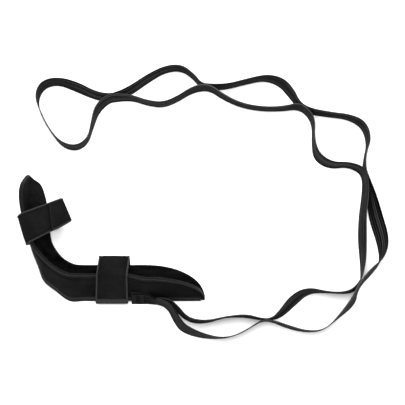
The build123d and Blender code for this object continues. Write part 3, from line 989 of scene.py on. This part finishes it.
def forefoot_lip():
    """Thin tape sewn along the forefoot tab's free end."""
    run = forefoot([(-92.4, 5.2, -23, 23), (-87.4, 9.8, -22.5, 22.6)], 1.0, STRAP_THICK - 0.1)
    columns = [run.at(share, 0.0) for share in (0, 0.5, 1)]
    columns += [run.at(share, 0.5) for share in (1, 0.5, 0)]
    rings = np.array(columns).transpose(1, 0, 2)
    uvs = [(j / len(columns), v) for v in run.v for j in range(len(columns))]
    tape = facing_out(add_mesh("forefoot_tab_lip", rings.reshape(-1, 3), ring_grid(rings), LIP, uvs))
    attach(tape, "forefoot_tab")


forefoot_lip()

forefoot_base = forefoot([
    (-34.2, 40.0, -17.8, 27), (-33.8, 2.5, -22, 25), (-75.8, 2.5, -24, 24),
], 6.0)
forefoot_base.cloth("forefoot_base_cloth", STRAP, "sole", ["forefoot_strap_base"], "strap_fabric")
forefoot_base.edging("forefoot_base_edge", "sole", ["forefoot_base_edging"])
forefoot_base.edge_stitches("forefoot_base_stitches", "sole")

# Top and bottom edge of the ankle band, from behind the right rim over the folded free
# end and back round the left wall.
ANKLE = [
    ((-127.6, 15, 47), (-118.5, -14, 42)),
    ((-131.3, 15.8, 82.5), (-118.6, -23, 66.5)),
    ((-127, 18.8, 86.5), (-114.4, -20, 70.5)),
    ((-78, 52.5, 56), (-63.5, 20.5, 43)),
    ((-96.5, 64, 2.6), (-89, 24, 2.6)),
    ((-112.5, 59, 2.6), (-105, 19, 2.6)),
    ((-126.5, 19, 37), (-116.5, -12, 30)),
]
ankle_band = Strap([a for a, b in ANKLE], [b for a, b in ANKLE], 4.0, -1)
ankle_band.cloth("ankle_band_cloth", STRAP, "upright", ["ankle_strap_band"], "strap_fabric")
ankle_band.edging("ankle_band_edge", "upright", ["ankle_band_edging"])
ankle_band.edge_stitches("ankle_band_stitches", "upright")


def back_from_fold(top_distance, bottom_distance):
    """Top and bottom edge points of the ankle band, these distances behind its fold."""
    fold, rim = ANKLE[3], ANKLE[2]
    result = []
    for i, distance in enumerate((top_distance, bottom_distance)):
        way = unit(np.array(rim[i], float) - np.array(fold[i], float))
        result.append(np.array(fold[i], float) + way * distance)
    return result


free_end = back_from_fold(22, 34)
near_fold = back_from_fold(1.2, 1.2)
ankle_tab = Strap([free_end[0], near_fold[0]], [free_end[1], near_fold[1]], 3.0, -1, lift=4.9)
ankle_tab.cloth("ankle_tab_cloth", STRAP, "ankle_tab", ["ankle_tab"], "strap_fabric")
ankle_tab.edging("ankle_tab_edge", "ankle_tab", ["ankle_tab_edging"])
ankle_tab.edge_stitches("ankle_tab_stitches", "ankle_tab")
ankle_tab.cross_stitches("ankle_tab_end_rows", "ankle_tab", (0.14, 0.9))
# The tab's end tape uses the darker seam tape: painted shade for the shadow line along the tab's
# overlapping end.
ankle_tab.end_binding("ankle_tab_end", "ankle_tab", 0, SEAM)


PATCH_CORNER = 3.0


def patch(name, strap, low, thick, inset, material, body):
    """Hook or pile patch on a strap's run, with rounded corners and an uneven face."""
    across = np.linspace(0, 1, 25)
    rows = len(strap.tops)
    width = np.linalg.norm(strap.bottoms - strap.tops, axis=1)
    length = strap.v / MM
    from_end = np.minimum(length, length[-1] - length)
    corner = np.maximum(0, PATCH_CORNER - from_end)
    pull = (inset + PATCH_CORNER - np.sqrt(PATCH_CORNER**2 - corner**2)) / width
    columns = []
    for face in (0, 1):
        for share in (across if face == 0 else across[::-1]):
            where = pull + share * (1 - 2 * pull)
            p = strap.tops + (strap.bottoms - strap.tops) * where[:, None]
            fuzz = [0.18 * noise.noise(Vector(q * 1.7)) for q in p]
            height = low if face == 0 else low + thick + np.array(fuzz) - 0.1
            columns.append(p + strap.normal * np.broadcast_to(height, rows)[:, None])
    rings = np.array(columns).transpose(1, 0, 2)
    piece = facing_out(add_mesh(name + "_face", rings.reshape(-1, 3), ring_grid(rings), material))
    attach(piece, body)
    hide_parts(name)


def wall_run(low, high):
    return forefoot([(*right_wall(low, 0), -24, 24), (*right_wall(high, 0), -24, 24)], 1.0)


def ankle_run(first, last):
    start, end = back_from_fold(*first), back_from_fold(*last)
    return Strap([start[0], end[0]], [start[1], end[1]], 1.0, -1)


TAPE_EDGE = 13.0
patch("forefoot_pile_patch", wall_run(TAPE_EDGE, 46), 0.05, 1.0, 5, PILE, "sole")
patch("forefoot_hook_patch", wall_run(TAPE_EDGE + 3, 43), 1.2, 0.9, 7, HOOK, "forefoot_tab")
patch("ankle_pile_patch", ankle_run((19, 31), (5, 5)), 2.7, 1.0, 7, PILE, "upright")
patch("ankle_hook_patch", ankle_run((19, 31), (5, 5)), 3.95, 0.8, 7, HOOK, "ankle_tab")


def ankle_fold_turn():
    """The turn of cloth that joins the ankle band to its folded-back tab."""
    fold_top, fold_bottom = (np.array(p, float) for p in ANKLE[3])
    out = ankle_tab.normal[-1]
    way = ankle_tab.way[-1]
    low, high = STRAP_THICK / 2, ankle_tab.lift + STRAP_THICK / 2
    middle, radius = (low + high) / 2, (high - low) / 2
    path = [(-4.0, low, -1.0)]
    for step in range(13):
        turn = math.pi * (step / 12 - 0.5)
        path.append((0.9 * math.cos(turn), middle + radius * math.sin(turn), math.sin(turn)))
    path.append((-4.0, high, 1.0))
    half = STRAP_THICK / 2 - 0.15
    rings = []
    for forward, up, tilt in path:
        radial = out * tilt + way * math.sqrt(max(1 - tilt * tilt, 0))
        ring = []
        for side, shares in ((1, np.linspace(0.02, 0.98, 9)), (-1, np.linspace(0.98, 0.02, 9))):
            for share in shares:
                base = fold_top + (fold_bottom - fold_top) * share
                ring.append(base + way * forward + out * up + radial * side * half)
        rings.append(ring)
    points = [p for ring in rings for p in ring]
    uvs = [(i / len(ring), j * 0.001) for j, ring in enumerate(rings) for i in range(len(ring))]
    piece = facing_out(add_mesh("ankle_fold_turn", points, ring_grid(rings), STRAP, uvs, 60))
    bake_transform(piece)


ankle_fold_turn()


def anchor_patch():
    """Row of bartacks that holds the forefoot strap's edge to the right wall."""
    starts, ends, ns = [], [], []
    c, s = math.cos(V_ANGLE), math.sin(V_ANGLE)
    out = np.array((0, -s, c))
    for x in (-37, -34.2, -31.4, -28.6, -26):
        a = np.array((x, *right_wall(13, 0.35)))
        b = np.array((x, *right_wall(33, 0.35)))
        starts.append(a)
        ends.append(b)
        ns.append(out)
    piece = thread_run("anchor_bartacks", starts, ends, ns, "sole", width=1.5, height=0.5,
                       material=COVER)
    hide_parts("forefoot_anchor_patch")


anchor_patch()

TAIL_LEAN = 24
FREE_LEAN = 3
SEWN_TO_X = 48
TAIL_X = (29, 67)


def sewn_tails():
    """The two tails of the webbing, lying against the keel, their anchor and stitches."""
    way = np.linspace(*TAIL_X, 40)
    lift_off = np.clip((way - SEWN_TO_X) / (TAIL_X[1] - SEWN_TO_X), 0, 1)
    lift_off = lift_off**2 * (3 - 2 * lift_off)
    leans = np.radians(TAIL_LEAN + (FREE_LEAN - TAIL_LEAN) * lift_off)
    for name, sewn_y, free_y in (("tail_outer", -88.5, -93.6), ("tail_inner", -86.7, -91.6)):
        middle_y = sewn_y + (free_y - sewn_y) * lift_off
        line = np.array([(x, y, WEB_WIDTH / 2) for x, y in zip(way, middle_y)]) * MM
        # The tails use the darker webbing copy: painted shade.
        piece, path = ribbon(name, line, leans, PAINTED_SHADE_WEBBING)
        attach(piece, "sole")
    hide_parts("pull_strap_tails")

    outline = [(-90.3, 0.9), (-89.9, 1.2), (-84.3, 11.0), (-84.6, 12.2), (-85.7, 11.2)]
    stations = np.linspace(31, 60, 24)
    points = [(x, y, z) for x in stations for y, z in outline]
    uvs = [(i / len(outline), j * 1.3 * MM) for j in range(24) for i in range(len(outline))]
    # The anchor fold uses the same darker webbing copy: painted shade.
    anchor = facing_out(add_mesh("anchor_fold", points, ring_grid([outline] * len(stations)),
                                 PAINTED_SHADE_WEBBING, uvs, 60))
    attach(anchor, "sole")
    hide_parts("pull_strap_anchor")

    lean = math.radians(TAIL_LEAN)
    across = np.array((0, math.sin(lean), math.cos(lean)))
    out = np.array((0, -math.cos(lean), math.sin(lean)))
    starts, ends, ns = [], [], []
    for x in (32.0, 34.4, 43.6, 46.0):
        for step in np.arange(-8.5, 9, 1.5):
            place = np.array((x, -88.5, 11.8)) + across * step + out * (WEB_THICK / 2 + 0.05)
            starts.append(place - np.array((0.9, 0, 0)))
            ends.append(place + np.array((0.9, 0, 0.5)))
            ns.append(out)
    stitches = thread_run("anchor_box_stitches", starts, ends, ns, "sole", 0.6, 0.35)
    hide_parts("anchor_stitches")


sewn_tails()


# ---- stage and light ----------------------------------------------------------
FLOOR_HALF = 6
floor_corners = [(x * FLOOR_HALF, y * FLOOR_HALF, 0) for x, y in ((-1, -1), (1, -1), (1, 1), (-1, 1))]
floor_mesh = bpy.data.meshes.new("floor")
floor_mesh.from_pydata(floor_corners, [], [(0, 1, 2, 3)])
floor_mesh.materials.append(floor_material())
floor = bpy.data.objects.new("floor", floor_mesh)
bpy.context.scene.collection.objects.link(floor)


def area_light(name, place, aim, size, power):
    light = bpy.data.lights.new(name, "AREA")
    light.shape = "SQUARE"
    light.size = size
    light.energy = power
    lamp = bpy.data.objects.new(name, light)
    lamp.location = place
    lamp.rotation_euler = (Vector(aim) - Vector(place)).to_track_quat("-Z", "Y").to_euler()
    bpy.context.scene.collection.objects.link(lamp)


area_light("key", (0.13, 0.14, 1.1), (0.13, 0.14, 0), 0.9, 13)
area_light("fill", (-0.3, 0.8, 1.9), (0.0, 0.0, 0), 2.0, 15)

world = bpy.data.worlds.new("studio")
world.use_nodes = True
background = world.node_tree.nodes["Background"]
background.inputs["Color"].default_value = (1, 1, 1, 1)
background.inputs["Strength"].default_value = 1.35
bpy.context.scene.world = world
bpy.context.scene.view_settings.view_transform = "Standard"
